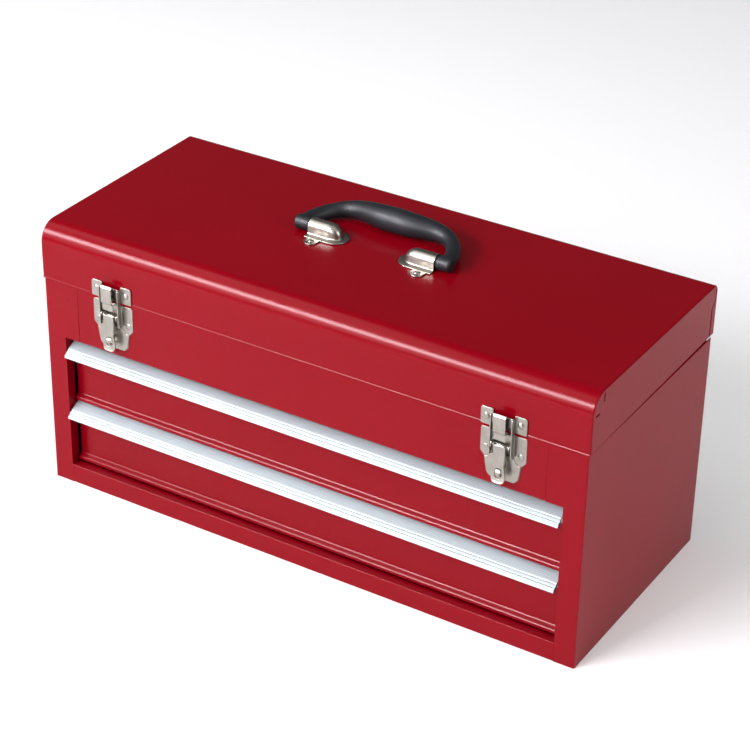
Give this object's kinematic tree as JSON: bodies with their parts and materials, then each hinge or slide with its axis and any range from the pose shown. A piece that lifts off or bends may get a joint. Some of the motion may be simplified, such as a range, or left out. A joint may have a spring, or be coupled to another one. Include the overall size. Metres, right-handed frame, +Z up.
{
  "type": "tool chest",
  "caption": "Portable steel tool chest with a hinged lid, draw latches, folding carrying handle, pull-out drawers and a lift-out tray.",
  "frame": {"origin": "middle of the base of the case, on the surface it stands on", "axes": "+X along the width to the right as seen from the front, +Y to the back, +Z up"},
  "size_m": [0.5224, 0.234, 0.2735],
  "materials": {
    "red_enamel": "gloss enamel",
    "nickel": "satin nickel plate",
    "aluminium": "clear anodised extrusion",
    "zinc": "zinc plate",
    "grip_black": "satin moulded plastic"
  },
  "bodies": {
    "case": {"side_panel_left": "red_enamel", "side_panel_right": "red_enamel", "front_fascia": "red_enamel", "bottom_panel": "red_enamel", "back_panel": "red_enamel", "compartment_floor": "red_enamel", "slide_channel_lower_left": "zinc", "slide_channel_lower_right": "zinc", "slide_channel_upper_left": "zinc", "slide_channel_upper_right": "zinc", "hinge_leaf_case": "zinc", "hinge_pin": "zinc", "latch_base_left": "nickel", "latch_base_right": "nickel", "latch_pivot_pin_left": "nickel", "latch_pivot_pin_right": "nickel", "base_rivets_left": "nickel", "base_rivets_right": "nickel", "stay_stud_left": "zinc", "stay_stud_right": "zinc", "tray_ledge_left": "red_enamel", "tray_ledge_right": "red_enamel"},
    "lid": {"lid_shell": "red_enamel", "hinge_leaf_lid": "zinc", "handle_bracket_left": "nickel", "handle_bracket_right": "nickel", "bracket_rivets": "nickel", "latch_keeper_left": "nickel", "latch_keeper_right": "nickel", "keeper_rivets_left": "nickel", "keeper_rivets_right": "nickel", "stay_pivot_left": "zinc", "stay_pivot_right": "zinc"},
    "handle": {"handle_grip": "grip_black", "handle_axles": "zinc"},
    "lever_left": {"latch_lever_left": "nickel", "latch_link_pin_left": "nickel"},
    "lever_right": {"latch_lever_right": "nickel", "latch_link_pin_right": "nickel"},
    "link_left": {"latch_link_left": "nickel"},
    "link_right": {"latch_link_right": "nickel"},
    "stay_left": {"stay_arm_left": "zinc"},
    "stay_right": {"stay_arm_right": "zinc"},
    "drawer_lower": {"drawer_box_lower": "red_enamel", "drawer_front_lower": "red_enamel", "drawer_pull_lower": "aluminium", "slide_rail_lower_left": "zinc", "slide_rail_lower_right": "zinc"},
    "drawer_upper": {"drawer_box_upper": "red_enamel", "drawer_front_upper": "red_enamel", "drawer_pull_upper": "aluminium", "slide_rail_upper_left": "zinc", "slide_rail_upper_right": "zinc"},
    "tray": {"tray_pan": "red_enamel", "tray_dividers": "red_enamel", "tray_grip_bar": "red_enamel"}
  },
  "joints": [
    {"name": "lid_hinge", "type": "hinge", "parent": "case", "child": "lid", "pos_m": [0, 0.1129, 0.2], "axis": [-1, 0, 0], "range_deg": [0, 95]},
    {"name": "handle_swing", "type": "hinge", "parent": "lid", "child": "handle", "pos_m": [-0.0026, 0.0047, 0.25725], "axis": [1, 0, 0], "range_deg": [0, 160]},
    {"name": "lever_swing_left", "type": "hinge", "parent": "case", "child": "lever_left", "pos_m": [-0.1873, -0.1132, 0.1865], "axis": [-1, 0, 0], "range_deg": [0, 110]},
    {"name": "link_swing_left", "type": "hinge", "parent": "lever_left", "child": "link_left", "pos_m": [-0.1873, -0.1132, 0.1791], "axis": [-1, 0, 0], "range_deg": [-100, 5]},
    {"name": "lever_swing_right", "type": "hinge", "parent": "case", "child": "lever_right", "pos_m": [0.1873, -0.1132, 0.1865], "axis": [-1, 0, 0], "range_deg": [0, 110]},
    {"name": "link_swing_right", "type": "hinge", "parent": "lever_right", "child": "link_right", "pos_m": [0.1873, -0.1132, 0.1791], "axis": [-1, 0, 0], "range_deg": [-100, 5]},
    {"name": "stay_swing_left", "type": "hinge", "parent": "lid", "child": "stay_left", "pos_m": [-0.25415, 0.08692, 0.215], "axis": [-1, 0, 0], "range_deg": [-50, 5]},
    {"name": "stay_swing_right", "type": "hinge", "parent": "lid", "child": "stay_right", "pos_m": [0.25415, 0.08692, 0.215], "axis": [-1, 0, 0], "range_deg": [-50, 5]},
    {"name": "drawer_slide_lower", "type": "slide", "parent": "case", "child": "drawer_lower", "axis": [0, -1, 0], "range_m": [0, 0.15]},
    {"name": "drawer_slide_upper", "type": "slide", "parent": "case", "child": "drawer_upper", "axis": [0, -1, 0], "range_m": [0, 0.15]},
    {"name": "tray_lift", "type": "slide", "parent": "case", "child": "tray", "axis": [0, 0, 1], "range_m": [0, 0.038]}
  ],
  "couplings": [
    {"joint": "link_swing_left", "follows": "lever_swing_left", "ratio": -0.88},
    {"joint": "link_swing_right", "follows": "lever_swing_right", "ratio": -0.88},
    {"joint": "stay_swing_left", "follows": "lid_hinge", "ratio": -0.5},
    {"joint": "stay_swing_right", "follows": "lid_hinge", "ratio": -0.5}
  ]
}
